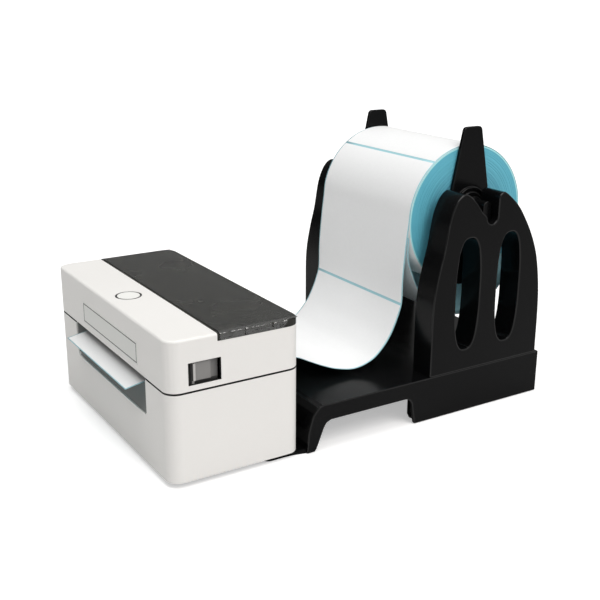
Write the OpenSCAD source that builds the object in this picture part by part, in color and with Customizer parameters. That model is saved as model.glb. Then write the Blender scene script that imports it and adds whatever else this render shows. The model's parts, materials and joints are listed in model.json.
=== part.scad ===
// Desktop thermal label printer with a label roll on a separate stand behind it.
// The web of labels runs from the roll, through the printer and out at its front.
// +X is to the right when facing the printer's front, +Y runs back to the stand, +Z is up.
// The pieces are drawn with y = 0 at the printer's front face, then centred by desk().

/* [Printer casing] */
// Width of the printer
printer_w = 186; // [180:1:196]
// Depth of the printer
printer_d = 88.5; // [87:0.5:92]
// Height of the printer
printer_h = 92.5; // [91:0.5:98]
// Height of the parting line between lower casing and cover
split_z = 60; // [59.5:0.1:61]
// Gap at the parting line
split_gap = 0.8; // [0.3:0.1:0.8]
// Wall of the plastic shells
casing_wall = 2.5; // [2:0.1:3]
// Radius of the casing's upright corners
corner_r = 8.5; // [6:0.5:11]
// Radius of the casing's top edges
edge_r = 1.6; // [1:0.1:2]
// Thickness of the dark top panel's edge
panel_edge = 4.75; // [4.5:0.25:6]
// Length of white cover in front of the dark top panel
panel_y = 32; // [30.5:0.5:34]
// Height of the rubber feet
foot_h = 3.5; // [3:0.5:5]
// Radius of the rubber feet
foot_r = 6; // [4:0.5:8]

/* [Front of the printer] */
// Half width of the front slot
slot_half = 60; // [58:0.5:60]
// Height of the lower edge of the front slot
slot_z = 36; // [34:0.5:40]
// Width of the blank front label
label_plate_w = 92; // [60:1:100]
// Height of the blank front label
label_plate_h = 14.5; // [10:0.5:17]
// Radius of the feed button
button_r = 7.3; // [6:0.1:8]
// Travel of the feed button
button_travel = 1.2; // [0.8:0.1:1.2]
// Distance of the feed button from the front face
button_y = 16; // [14:0.5:17]

/* [Label web] */
// Width of the liner
liner_w = 104; // [90:0.5:104]
// Thickness of liner and label together
web_t = 0.3; // [0.2:0.05:0.35]
// Height of the web's middle inside the printer
web_z = 55.1; // [55:0.05:55.2]

/* [Printing mechanism] */
// Radius of the platen roller
platen_r = 6; // [5:0.25:6.5]
// Radius of the platen shaft
shaft_r = 3; // [2.5:0.25:3.5]
// Distance of the platen from the front face
platen_y = 20; // [19.5:0.5:21]
// Tooth module of the gear train
gear_module = 1; // [0.9:0.02:1]
// Teeth on the platen gear
platen_teeth = 24; // [22:1:24]
// Teeth on the idler gear
idler_teeth = 20; // [18:1:20]
// Teeth on the motor pinion
pinion_teeth = 12; // [12:1:14]
// Side of the square stepper motor
motor_side = 35; // [28:1:35]
// Length of the stepper motor
motor_len = 24; // [18:1:30]

/* [Label stand] */
// Free distance between printer and stand
stand_gap = 4.5; // [4:0.5:30]
// Width of the stand
stand_w = 158; // [150:1:164]
// Sideways offset of the stand and roll from the printer's middle
stand_shift = 14.5; // [10:0.5:15]
// Length of the stand
stand_len = 198; // [197:1:210]
// Height of the stand's deck
deck_h = 31; // [29:0.5:33]
// Height of the passage under the bridge
bridge_z = 19.5; // [16:0.5:23]
// Wall of the stand's base
base_wall = 3; // [2.5:0.25:4]
// Thickness of the side plates
plate_t = 19; // [15:0.5:20]
// Length of a side plate at its foot
plate_len = 97.2; // [92:0.2:98]
// Height of a side plate's top above the ground
plate_top = 154; // [150:0.5:160]

/* [Spindle and roll] */
// Radius of the spindle
spindle_r = 8; // [7:0.25:9]
// Outer radius of the label roll
roll_r = 48.5; // [44:0.5:50]
// Inner radius of the cardboard core
core_r = 15; // [13:0.25:20]
// Wall of the cardboard core
core_wall = 2.5; // [1.5:0.25:3]
// Length of a guide flange's blade above and below the spindle
blade_len = 54.5; // [45:0.5:56]

/* [Hidden] */
$fn = 64;
fit = 0.05;
clear = 0.3;

shell_white = [0.90, 0.89, 0.86];
panel_dark = [0.16, 0.16, 0.16];
recess_grey = [0.49, 0.50, 0.48];
latch_grey = [0.51, 0.50, 0.49];
stand_black = [0.10, 0.10, 0.11];
steel = [0.70, 0.71, 0.72];
rubber_black = [0.07, 0.07, 0.07];
nylon = [0.88, 0.86, 0.80];
board_green = [0.08, 0.35, 0.20];
liner_blue = [0.45, 0.72, 0.80];
paper_white = [0.95, 0.95, 0.95];
brown_card = [0.62, 0.48, 0.33];

half_w = printer_w / 2;
inner_half = half_w - casing_wall;
inner_back = printer_d - casing_wall;
plate_seat = foot_h + 2.5;
casing_top = split_z - split_gap / 2;
cover_z = split_z + split_gap / 2;
panel_z = printer_h - panel_edge;
web_half = liner_w / 2;
web_low = web_z - web_t / 2;
web_high = web_z + web_t / 2;

// Printing mechanism places
frame_in = 60.5;
frame_t = 2;
frame_out = frame_in + frame_t;
platen_z = web_low - 0.35 - platen_r;
gear_w = 4;
gear_x = -(frame_out + 3 + gear_w);
idler_dir = -30;
motor_dir = -35.5;
platen_pitch = gear_module * platen_teeth / 2;
idler_pitch = gear_module * idler_teeth / 2;
pinion_pitch = gear_module * pinion_teeth / 2;
idler_y = platen_y + (platen_pitch + idler_pitch) * cos(idler_dir);
idler_z = platen_z + (platen_pitch + idler_pitch) * sin(idler_dir);
motor_y = idler_y + (idler_pitch + pinion_pitch) * cos(motor_dir);
motor_z = idler_z + (idler_pitch + pinion_pitch) * sin(motor_dir);
idler_phase = mesh_phase(idler_dir, platen_teeth, idler_dir, idler_teeth);
pinion_phase = mesh_phase(motor_dir, idler_teeth, idler_phase, pinion_teeth);
bushing_r = shaft_r + 2;
deck_z = 53.5;
deck_t = 2;
deck_y = 29;
deck_end = 80;
strike_y = 40;
strike_z = 65;
strike_r = 1.8;

// Paper guides and their rack and pinion
guide_y = 50;
guide_len = 26;
rack_module = 0.8;
rack_teeth = 14;
rack_pitch = rack_module * rack_teeth / 2;
rack_y = 60;
rack_z = 48.6;
rack_h = 2.6;
rack_back = 3;
guide_in = web_half + 0.6;
guide_t = 2;
guide_travel = 4;

// Cover places
hinge_y = printer_d + 1.2;
hinge_z = split_z;
hinge_r = 2.6;
hinge_pin_r = 1.2;
knuckle_x = 59.5;
knuckle_w = 5;
knuckle_span = 20;
head_pivot_y = 44;
head_pivot_z = 66;
head_pin_r = 1.5;
head_z = web_high + 0.35;
head_t = 3.9;
bracket_z = head_z + head_t;
bracket_t = 2;
ear_x = 50;
ear_t = 2.6;
rib_x = ear_x + ear_t + 0.4;
rib_t = 3;
spring_x = 30;
spring_y = 20;
spring_seat = 74;
window_y = 13;
window_w = 21;
cover_h = panel_z - split_z;
window_z = split_z + 0.14 * cover_h;
window_h = 0.5 * cover_h;
lever_z = window_z - 1.5;
lever_h = window_h + 3.2;
bar_y = 30;
bar_z = lever_z + lever_h / 2 + 1.05;
hook_x = 73;
hook_t = 3;
button_top = printer_h - casing_wall;
ring_r = button_r + 1.2;
post_x = ring_r + 3.2 + clear;

// Stand places
stand_y = printer_d + stand_gap;
stand_end = stand_y + stand_len;
base_y = stand_end - plate_len - 15;
plate_mid = stand_end - plate_len / 2 - 3.4;
plate_right = stand_shift + stand_w / 2 - plate_t;
plate_left = stand_shift - stand_w / 2;
spindle_y = plate_mid - 1;
spindle_z = plate_top - 15.5;
span_low = plate_left + plate_t + 0.3;
span_high = plate_right - 0.3;
tongue_r = 3.5;
tongue_rise = 3.5;
notch_r = tongue_r + 1.3;
notch_z = spindle_z - tongue_rise - tongue_r - clear + notch_r;
roll_z = spindle_z - (core_r - spindle_r) + clear;
roll_low = stand_shift - web_half;
roll_high = stand_shift + web_half;
roll_front = spindle_y - roll_r;
flange_gap = 0.4;
blade_t = 2.5;
hub_t = 2;
hub_r = 14;

// Depth of a point of the hanging web: t runs from the stand's front to below the roll's front
function hang(t) = stand_y + t * (roll_front - 3.5 - stand_y);

// Centre line of the web: the loose outer turn under the roll, then round the roll's back and
// top to its front, down to the stand and through the printer to the label's free end
loop_path = [for (p = [[-48.7, -9.8], [-48.6, -23.8], [-45.1, -34.3], [-38.1, -48.3],
                       [-25.5, -62.3], [-12.5, -69], [-0.5, -71.2], [12.5, -69.8], [24.5, -64.6],
                       [34.5, -57.3], [43.5, -43.8], [48.5, -26.8], [49.7, -9.8]])
  [spindle_y + p[0] * roll_r / 48.5, roll_z + p[1] * roll_r / 48.5]];
round_path = [for (a = [0:15:180])
  [spindle_y + (roll_r + 0.5) * cos(a), roll_z + (roll_r + 0.5) * sin(a)]];
web_path = concat(loop_path, round_path,
  [[roll_front - 2.2, roll_z - 15], [roll_front - 3.8, roll_z - 35], [roll_front - 4, 80],
   [hang(0.984), 73.7], [hang(0.942), 62.9], [hang(0.884), 52.3], [hang(0.792), deck_h + 11.1],
   [hang(0.711), deck_h + 6.5], [hang(0.641), deck_h + 4.5], [hang(0.598), deck_h + 4.2],
   [hang(0.551), deck_h + 4.6], [hang(0.461), deck_h + 6.4], [hang(0.371), 40.6],
   [hang(0.281), 44.5], [hang(0.19), 48.5], [stand_y + 1, 54], [printer_d - 4, web_z],
   [60, web_z], [30, web_z], [12, web_z], [5, web_z - 0.5], [-3, web_z - 1.8],
   [-9.5, web_z - 3.1]]);

front_y = web_path[len(web_path) - 1][0];
back_y = max(stand_end, spindle_y + roll_r);
mid_y = (front_y + back_y) / 2;

// ---- shared shapes ----

// Moves the drawing so that the origin is under the middle of the whole object
module desk() {
  translate([0, -mid_y, 0]) children();
}

// Extrudes a (y, z) outline along X from x0 over len
module along_x(x0, len) {
  translate([x0, 0, 0]) rotate([90, 0, 90]) linear_extrude(len) children();
}

// Extrudes an (x, z) outline along Y from y0 over len
module along_y(y0, len) {
  translate([0, y0 + len, 0]) rotate([90, 0, 0]) linear_extrude(len) children();
}

// A cylinder along X
module rod_x(x0, len, y, z, r) {
  translate([x0, y, z]) rotate([0, 90, 0]) cylinder(h = len, r = r);
}

// A cylinder along Z
module rod_z(x, y, z0, len, r) {
  translate([x, y, z0]) cylinder(h = len, r = r);
}

// A block from its low corner
module block(x, y, z, w, d, h) {
  translate([x, y, z]) cube([w, d, h]);
}

// Repeats for the left and the right side
module both_sides() {
  children();
  mirror([1, 0, 0]) children();
}

// The printer's plan view, set in by inset
module casing_plan(inset) {
  r = corner_r - inset;
  w = half_w - inset;
  union() {
    translate([-w + r, inset]) square([2 * (w - r), printer_d - 2 * inset]);
    translate([-w, inset + r]) square([2 * w, printer_d - 2 * (inset + r)]);
    for (sx = [-1, 1], y = [inset + r, printer_d - inset - r]) {
      translate([sx * (w - r), y]) circle(r);
    }
  }
}

// A slab with the printer's plan view and a rounded top edge
module soft_slab(z0, z1, r) {
  w = half_w;
  translate([0, 0, z0]) linear_extrude(z1 - r - z0) casing_plan(0);
  translate([0, 0, z1 - r]) linear_extrude(r) casing_plan(r);
  for (y = [r, printer_d - r]) {
    rod_x(-w + corner_r, 2 * (w - corner_r), y, z1 - r, r);
  }
  for (sx = [-1, 1]) {
    translate([sx * (w - r), corner_r, z1 - r]) rotate([-90, 0, 0])
      cylinder(h = printer_d - 2 * corner_r, r = r);
    for (y = [corner_r, printer_d - corner_r]) {
      translate([sx * (w - corner_r), y, z1 - r]) rotate_extrude() intersection() {
        union() {
          square([corner_r - r, r]);
          translate([corner_r - r, 0]) circle(r);
        }
        square([corner_r, r]);
      }
    }
  }
}

// Direction-matched phase of a gear that meshes with one whose tooth stands at phase
function mesh_phase(dir, teeth_a, phase, teeth_b) =
  dir + 180 + 180 / teeth_b - (phase - dir) * teeth_a / teeth_b;

// Outline of a spur gear with one tooth centred at phase
module gear_outline(m, teeth, phase) {
  pitch = 360 / teeth;
  r = m * teeth / 2;
  shape = [[-0.34, r - 1.2 * m], [-0.27, r - 0.6 * m], [-0.215, r], [-0.12, r + 0.9 * m],
           [0.12, r + 0.9 * m], [0.215, r], [0.27, r - 0.6 * m], [0.34, r - 1.2 * m]];
  polygon([for (i = [0:teeth - 1], p = shape)
    p[1] * [cos(phase + (i + p[0]) * pitch), sin(phase + (i + p[0]) * pitch)]]);
}

// A gear in the train on the left side frame
module train_gear(teeth, phase, y, z, bore) {
  along_x(gear_x, gear_w) difference() {
    translate([y, z]) gear_outline(gear_module, teeth, phase);
    translate([y, z]) circle(bore);
  }
}

// A coil spring from z0 to z1
module coil(r, wire, turns, z0, z1) {
  steps = turns * 12;
  sides = 6;
  ring = [for (i = [0:steps], k = [0:sides - 1])
    let (a = i * 30, b = k * 360 / sides, rr = r + wire * cos(b))
    [rr * cos(a), rr * sin(a), z0 + wire + (z1 - z0 - 2 * wire) * i / steps + wire * sin(b)]];
  walls = [for (i = [0:steps - 1], k = [0:sides - 1])
    let (a = i * sides + k, b = i * sides + (k + 1) % sides)
    [a, a + sides, b + sides, b]];
  ends = [[for (k = [0:sides - 1]) k], [for (k = [sides - 1:-1:0]) steps * sides + k]];
  polyhedron(ring, concat(walls, ends));
}

// ---- printer base ----

boss_x = inner_half - 5;
boss_y = [casing_wall + 6, printer_d - casing_wall - 6];
switch_x = half_w - 21;
jack_x = switch_x - 32;
usb_x = jack_x - 20;
board_z = plate_seat + 6;
board_t = 1.6;
port_z = board_z + board_t;

module slot_outline() {
  polygon([[-slot_half, split_z + 1], [-slot_half, slot_z + 7], [-slot_half + 1.2, slot_z + 2.6],
           [-slot_half + 3, slot_z], [slot_half - 1.5, slot_z], [slot_half, slot_z + 1.5],
           [slot_half, split_z + 1]]);
}

module knuckle(x, w, grow) {
  rod_x(x, w, hinge_y, hinge_z, hinge_r + grow);
}

module lower_casing() {
  color(shell_white) desk() difference() {
    union() {
      difference() {
        translate([0, 0, foot_h]) linear_extrude(casing_top - foot_h) casing_plan(0);
        translate([0, 0, foot_h - 1]) linear_extrude(split_z) casing_plan(casing_wall);
        along_y(-1, casing_wall + 2) slot_outline();
        block(-slot_half, inner_back - 1, 49, 2 * slot_half, casing_wall + 2, 20);
        both_sides() knuckle(knuckle_x + knuckle_w, knuckle_span - 2 * knuckle_w, clear);
      }
      for (sx = [-1, 1], y = boss_y) {
        rod_z(sx * boss_x, y, plate_seat, 14, 3.5);
        block(sx * (boss_x + 3.5) - 1.8, y - 1.2, plate_seat, 3.6, 2.4, 14);
      }
      both_sides() {
        knuckle(knuckle_x, knuckle_w - clear, 0);
        knuckle(knuckle_x + knuckle_span - knuckle_w + clear, knuckle_w - clear, 0);
        block(knuckle_x, inner_back, hinge_z - 6, knuckle_w - clear, casing_wall + 1.2, 5.7);
        block(knuckle_x + knuckle_span - knuckle_w + clear, inner_back, hinge_z - 6,
              knuckle_w - clear, casing_wall + 1.2, 5.7);
      }
    }
    for (sx = [-1, 1], y = boss_y) {
      rod_z(sx * boss_x, y, plate_seat - 1, 13, 1.3 + fit);
    }
    both_sides() rod_x(knuckle_x - 1, knuckle_span + 2, hinge_y, hinge_z, hinge_pin_r + fit);
    block(usb_x - 6.3, inner_back - 1, port_z - 0.3, 12.6, 6, 11.6);
    block(jack_x - 4.8, inner_back - 1, port_z - 0.3, 9.6, 6, 11.6);
    block(switch_x - 9.3, inner_back - 1, port_z, 18.6, 6, 12.6);
  }
}

module bottom_plate() {
  color(recess_grey) desk() difference() {
    union() {
      translate([0, 0, foot_h]) linear_extrude(plate_seat - foot_h) casing_plan(casing_wall + 0.2);
      for (x = [-24, 52], y = [42, 78]) {
        rod_z(x, y, plate_seat, 6, 3);
      }
    }
    for (sx = [-1, 1], y = boss_y) {
      rod_z(sx * boss_x, y, foot_h - 1, 5, 1.3 + fit);
      rod_z(sx * boss_x, y, foot_h - 1, 2.2, 2.9);
    }
    for (x = [-54:12:54]) {
      block(x - 1.5, 12, foot_h - 1, 3, 14, 5);
    }
  }
}

module printer_feet() {
  color(rubber_black) desk() for (x = [-half_w + 26, half_w - 26], y = [16, printer_d - 14]) {
    rod_z(x, y, 0, foot_h, foot_r);
  }
}

module bottom_screws() {
  color(steel) desk() for (sx = [-1, 1], y = boss_y) {
    difference() {
      union() {
        rod_z(sx * boss_x, y, foot_h + 0.1, 1.1, 2.7);
        rod_z(sx * boss_x, y, foot_h + 0.1, 12, 1.3);
      }
      block(sx * boss_x - 2, y - 0.3, foot_h, 4, 0.6, 0.6);
    }
  }
}

chute_top = 51;
tear_y = 10.7;
cheek_t = 2;

module exit_chute() {
  color(recess_grey) desk() difference() {
    union() {
      along_x(-slot_half + cheek_t, 2 * (slot_half - cheek_t)) polygon([[0.8, slot_z],
        [8.6, chute_top], [tear_y, chute_top], [tear_y, chute_top - 7], [4.7, slot_z + 1],
        [4.7, slot_z - 6], [casing_wall, slot_z - 6], [casing_wall, slot_z]]);
      both_sides() along_x(slot_half - cheek_t - 0.1, cheek_t) polygon([[0.8, slot_z + 2],
        [0.8, casing_top - 0.4], [12.4, casing_top - 0.4], [12.4, 50], [4.7, slot_z + 2]]);
    }
    along_y(-1, casing_wall + 1) difference() {
      translate([-slot_half - 5, slot_z - 10]) square([2 * slot_half + 10, 40]);
      slot_outline();
    }
  }
}

module tear_bar() {
  teeth = 104;
  pitch = 2 * (slot_half - cheek_t - 1) / teeth;
  low = -teeth * pitch / 2;
  tip = web_low - 0.5;
  color(steel) desk() along_y(tear_y, 1) polygon(concat(
    [[-low, chute_top - 6.8], [low, chute_top - 6.8]],
    [for (i = [0:teeth]) each [[low + i * pitch, tip - 0.8],
      if (i < teeth) [low + (i + 0.5) * pitch, tip]]]));
}

module frame_outline() {
  polygon([[8, plate_seat], [74, plate_seat], [74, 57], [strike_y + 6, 57],
           [strike_y + 6, strike_z + 4], [strike_y - 6, strike_z + 4], [strike_y - 6, 57], [8, 57]]);
}

// One side frame, drawn for the left with its holes
module side_frame(train) {
  difference() {
    union() {
      along_x(-frame_out, frame_t) frame_outline();
      for (y = [14, 60]) {
        block(-frame_out - 7, y, plate_seat, 7, 10, 2);
      }
    }
    rod_x(-frame_out - 1, frame_t + 2, platen_y, platen_z, bushing_r + fit);
    rod_x(-frame_out - 1, frame_t + 2, strike_y, strike_z, strike_r + fit);
    if (train) {
      rod_x(-frame_out - 1, frame_t + 2, idler_y, idler_z, 1.5 + fit);
      rod_x(-frame_out - 1, frame_t + 2, motor_y, motor_z, pinion_pitch + 5 * gear_module + fit);
      for (s = [-1, 1]) {
        rod_x(-frame_out - 1, frame_t + 2, motor_y + s * 13, motor_z + s * 13, 1.5 + fit);
      }
    }
  }
}

module side_frame_left() {
  color(steel) desk() side_frame(true);
}

module side_frame_right() {
  color(steel) desk() mirror([1, 0, 0]) side_frame(false);
}

module platen_bushings() {
  color(nylon) desk() both_sides() difference() {
    union() {
      rod_x(frame_in, frame_t, platen_y, platen_z, bushing_r);
      rod_x(frame_out, 1.2, platen_y, platen_z, bushing_r + 1.5);
    }
    rod_x(frame_in - 1, frame_t + 3.2, platen_y, platen_z, shaft_r + fit);
  }
}

module strike_pins() {
  color(steel) desk() both_sides() {
    rod_x(frame_in, hook_x + hook_t + 2 - frame_in, strike_y, strike_z, strike_r);
  }
}

module media_deck() {
  color(recess_grey) desk() {
    difference() {
      block(-frame_in + 0.2, deck_y, deck_z - deck_t, 2 * frame_in - 0.4, deck_end - deck_y, deck_t);
      block(4.8, 30.8, deck_z - 3, 8.4, 6.4, 4);
      block(-guide_in - guide_t - guide_travel - clear, rack_y + rack_pitch + 0.7, deck_z - 3,
            guide_t + guide_travel + 2 * clear, rack_back + 0.6, 4);
      block(guide_in - clear, rack_y - rack_pitch - rack_back - 1.3, deck_z - 3,
            guide_t + guide_travel + 2 * clear, rack_back + 0.6, 4);
    }
    rod_z(0, rack_y, rack_z - 0.6, deck_z - deck_t - rack_z + 0.6, 2);
  }
}

module gap_sensor() {
  color(rubber_black) desk() {
    block(5, 31, 47, 8, 6, deck_z - 47.3);
    block(3, 29.5, deck_z - deck_t - 1.2, 12, 9, 1);
  }
}

module main_board() {
  color(board_green) desk() difference() {
    block(-30, 36, board_z, 88, inner_back - 36.5, board_t);
    for (x = [-24, 52], y = [42, 78]) {
      rod_z(x, y, board_z - 1, 4, 1.6);
    }
  }
}

module board_parts() {
  z = board_z + board_t;
  desk() {
    color(rubber_black) {
      block(-8, 50, z, 14, 14, 1.4);
      block(26, 44, z, 8, 6, 1.6);
      block(12, 42, z, 6, 5, 1.2);
    }
    color(nylon) {
      block(-26, 50, z, 6, 14, 7);
      block(40, 52, z, 12, 5, 6);
    }
    color(steel) {
      rod_z(14, 58, z, 12, 5);
      rod_z(27, 60, z, 10, 4);
    }
  }
}

module usb_port() {
  color(steel) desk() {
    difference() {
      block(usb_x - 6, inner_back - 13, board_z + board_t, 12, 13 + casing_wall - 0.2, 11);
      block(usb_x - 4.3, inner_back - 6, board_z + board_t + 1.6, 8.6, 12, 7.8);
    }
    block(usb_x - 2.8, inner_back - 6.2, board_z + board_t + 4, 5.6, 7, 3);
  }
}

module dc_jack() {
  z = board_z + board_t + 5.5;
  color(rubber_black) desk() {
    difference() {
      block(jack_x - 4.5, inner_back - 11, board_z + board_t, 9, 11 + casing_wall - 0.2, 11);
      translate([jack_x, inner_back - 7, z]) rotate([-90, 0, 0]) cylinder(h = 12, r = 3.1);
    }
    translate([jack_x, inner_back - 7.2, z]) rotate([-90, 0, 0]) cylinder(h = 8, r = 1);
  }
}

rocker_y = printer_d - 0.5;
rocker_z = port_z + 6.3;
rocker_r = 4.6;

module switch_housing() {
  color(rubber_black) desk() difference() {
    union() {
      block(switch_x - 9, inner_back - 12, port_z + 0.3, 18, 12 + casing_wall, 12);
      block(switch_x - 10.5, printer_d, port_z - 1.2, 21, 1.2, 15);
    }
    block(switch_x - 7, inner_back - 8, port_z + 1.3, 14, 20, 10);
  }
}

module power_rocker() {
  color(rubber_black) desk() rotate_about(rocker_y, rocker_z, 8) {
    along_x(switch_x - 6.6, 13.2) intersection() {
      translate([rocker_y, rocker_z]) circle(rocker_r);
      translate([rocker_y - 4, rocker_z - 4.1]) square([6.2, 8.2]);
    }
  }
}

// Turns its children about an axis along X at (y, z)
module rotate_about(y, z, a) {
  translate([0, y, z]) rotate([a, 0, 0]) translate([0, -y, -z]) children();
}

motor_shaft_r = 2.5;

module stepper_motor() {
  boss_r = pinion_pitch + 5 * gear_module;
  color(steel) desk() difference() {
    union() {
      block(-frame_in, motor_y - motor_side / 2, motor_z - motor_side / 2,
            motor_len, motor_side, motor_side);
      rod_x(-frame_out, frame_t, motor_y, motor_z, boss_r);
    }
    rod_x(-frame_out - 1, motor_len - 2, motor_y, motor_z, motor_shaft_r + fit);
    for (s = [-1, 1]) {
      rod_x(-frame_out - 1, 7, motor_y + s * 13, motor_z + s * 13, 1.5 + fit);
    }
  }
}

module motor_screws() {
  color(steel) desk() for (s = [-1, 1]) {
    rod_x(-frame_out - 1.6, 1.6, motor_y + s * 13, motor_z + s * 13, 2.6);
    rod_x(-frame_out, 5.5, motor_y + s * 13, motor_z + s * 13, 1.5);
  }
}

module idler_stud() {
  color(steel) desk() {
    rod_x(-frame_out, frame_t, idler_y, idler_z, 1.5);
    rod_x(gear_x + gear_w + clear, 2.7, idler_y, idler_z, 3.4);
    rod_x(gear_x - 1, gear_w + 2, idler_y, idler_z, 2);
    rod_x(gear_x - 1.5, 1.2, idler_y, idler_z, 3.2);
  }
}

module hinge_pins() {
  color(steel) desk() both_sides() {
    rod_x(knuckle_x + 0.3, knuckle_span - 0.6, hinge_y, hinge_z, hinge_pin_r);
  }
}

// ---- drive ----

module platen_shaft() {
  color(steel) desk() rod_x(gear_x - 1.5, frame_out + 1.5 - gear_x + 1.5, platen_y, platen_z, shaft_r);
}

module platen_roller() {
  color(rubber_black) desk() difference() {
    rod_x(-web_half - 2, 2 * web_half + 4, platen_y, platen_z, platen_r);
    rod_x(-web_half - 3, 2 * web_half + 6, platen_y, platen_z, shaft_r);
  }
}

module platen_gear() {
  color(nylon) desk() train_gear(platen_teeth, idler_dir, platen_y, platen_z, shaft_r);
}

module idler_gear() {
  color(nylon) desk() train_gear(idler_teeth, idler_phase, idler_y, idler_z, 2 + fit);
}

module motor_shaft() {
  color(steel) desk() rod_x(gear_x - 1, motor_len - gear_x - frame_out - 4, motor_y, motor_z,
                            motor_shaft_r);
}

module motor_pinion() {
  color(steel) desk() train_gear(pinion_teeth, pinion_phase, motor_y, motor_z, motor_shaft_r);
}

// ---- paper guides ----

// Outline of a straight rack whose teeth point to +y from the pitch line at 0
module rack_outline(x0, x1) {
  pitch = PI * rack_module;
  count = floor((x1 - x0) / pitch);
  tooth = [[-0.30, -0.9], [-0.12, 0.8], [0.12, 0.8], [0.30, -0.9]];
  polygon(concat([[x1, -0.9 * rack_module - rack_back], [x0, -0.9 * rack_module - rack_back],
                  [x0, -0.9 * rack_module]],
    [for (i = [0:count - 1], p = tooth)
      if (pitch * (i + ceil(x0 / pitch) + 0.5 + p[0]) > x0
          && pitch * (i + ceil(x0 / pitch) + 0.5 + p[0]) < x1)
        [pitch * (i + ceil(x0 / pitch) + 0.5 + p[0]), rack_module * p[1]]],
    [[x1, -0.9 * rack_module]]));
}

// The right guide: a wall beside the web, a foot under it and a rack under the deck
module paper_guide() {
  block(guide_in, guide_y, deck_z + clear, guide_t, guide_len, split_z - 1 - deck_z - clear);
  block(guide_in - 7, guide_y, deck_z + clear, 7, guide_len, web_low - clear - deck_z - clear);
  block(guide_in, rack_y - rack_pitch - rack_back - 0.9 * rack_module, rack_z,
        guide_t, rack_back, deck_z + clear - rack_z);
  translate([0, rack_y - rack_pitch, rack_z]) linear_extrude(rack_h) rack_outline(-9, guide_in);
}

module paper_guide_right() {
  color(recess_grey) desk() paper_guide();
}

module paper_guide_left() {
  color(recess_grey) desk() translate([0, rack_y, 0]) rotate([0, 0, 180]) translate([0, -rack_y, 0])
    difference() {
      paper_guide();
      block(guide_in - 8, guide_y - 1, deck_z + 0.1, 20, 40, 12);
    }
  color(recess_grey) desk() mirror([1, 0, 0]) {
    block(guide_in, guide_y, deck_z + clear, guide_t, guide_len, split_z - 1 - deck_z - clear);
    block(guide_in - 7, guide_y, deck_z + clear, 7, guide_len, web_low - clear - deck_z - clear);
    block(guide_in, rack_y + rack_pitch + 0.9 * rack_module, deck_z, guide_t, rack_back, clear);
  }
}

module guide_pinion() {
  color(nylon) desk() translate([0, rack_y, rack_z]) linear_extrude(rack_h) difference() {
    gear_outline(rack_module, rack_teeth, 90);
    circle(2 + fit);
  }
}

// ---- cover ----

module upper_cover() {
  color(shell_white) desk() difference() {
    union() {
      difference() {
        union() {
          translate([0, 0, cover_z]) linear_extrude(panel_z - cover_z) casing_plan(0);
          intersection() {
            soft_slab(cover_z, printer_h, edge_r);
            block(-half_w - 1, -1, cover_z, printer_w + 2, panel_y + 1, 60);
          }
        }
        translate([0, 0, cover_z - 1]) linear_extrude(panel_z - casing_wall - cover_z + 1)
          casing_plan(casing_wall);
        intersection() {
          translate([0, 0, cover_z - 1]) linear_extrude(button_top - cover_z + 1)
            casing_plan(casing_wall);
          block(-half_w, 0, cover_z - 1, printer_w, panel_y - casing_wall, 60);
        }
        both_sides() {
          knuckle(knuckle_x - clear, knuckle_w + clear, clear);
          knuckle(knuckle_x + knuckle_span - knuckle_w, knuckle_w + clear, clear);
          block(inner_half - 1, window_y, window_z, casing_wall + 2, window_w, window_h);
        }
        rod_z(0, button_y, 70, 40, ring_r + fit);
      }
      both_sides() {
        knuckle(knuckle_x + knuckle_w + clear, knuckle_span - 2 * knuckle_w - 2 * clear, 0);
        block(knuckle_x + knuckle_w + clear, inner_back, hinge_z + clear,
              knuckle_span - 2 * knuckle_w - 2 * clear, casing_wall + 1.2, 5.7);
        block(rib_x, head_pivot_y - 4, head_pivot_z - 3, rib_t, 8, panel_z - head_pivot_z + 2);
        rod_z(spring_x, spring_y, spring_seat, button_top - spring_seat + 1, 4.5);
        block(inner_half - 4.5, window_y - 4, lever_z + lever_h + clear, 5, 28, 1.7);
        block(inner_half - 4.5, window_y - 4, lever_z - clear - 1.4, 5, 28, 1.4);
        rod_z(post_x, button_y, board_top, button_top - board_top + 1, 2);
      }
    }
    both_sides() {
      rod_x(knuckle_x - 1, knuckle_span + 2, hinge_y, hinge_z, hinge_pin_r + fit);
      rod_x(rib_x - 1, rib_t + 2, head_pivot_y, head_pivot_z, head_pin_r + fit);
    }
  }
}

board_top = printer_h - 11.9;

module top_panel() {
  color(panel_dark) desk() difference() {
    intersection() {
      soft_slab(panel_z, printer_h, edge_r - 0.2);
      block(-half_w - 1, panel_y + 0.15, panel_z, printer_w + 2, printer_d, 60);
    }
    intersection() {
      translate([0, 0, panel_z - 1]) linear_extrude(panel_edge - 1) casing_plan(2);
      block(-half_w, panel_y + 2.2, panel_z - 1, printer_w, printer_d, 60);
    }
  }
}

label_plate_x = 4;
label_plate_z = 65;

module front_label() {
  color(recess_grey) desk()
    block(label_plate_x - label_plate_w / 2, -0.25, label_plate_z, label_plate_w, 0.25, label_plate_h);
}

module button_ring() {
  color(rubber_black) desk() difference() {
    union() {
      rod_z(0, button_y, button_top - 1.5, printer_h - button_top + 1.5, ring_r);
      rod_z(0, button_y, button_top - 1.5, 1.4, ring_r + 1.2);
    }
    rod_z(0, button_y, button_top - 3, 8, button_r + clear);
  }
}

module button_board() {
  color(board_green) desk() {
    block(-post_x - 2, button_y - 7, board_top - 1.6, 2 * post_x + 4, 14, 1.6);
  }
  color(steel) desk() block(-3, button_y - 3, board_top, 6, 6, 1.2);
}

module feed_button() {
  stem_z = board_top + button_travel + 1.4;
  color(shell_white) desk() {
    rod_z(0, button_y, button_top - 3.2, printer_h - button_top + 3.3, button_r);
    rod_z(0, button_y, button_top - 3.2, 1.2, button_r + 1.2);
    rod_z(0, button_y, stem_z, button_top - 3 - stem_z, 2.5);
  }
}

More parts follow.
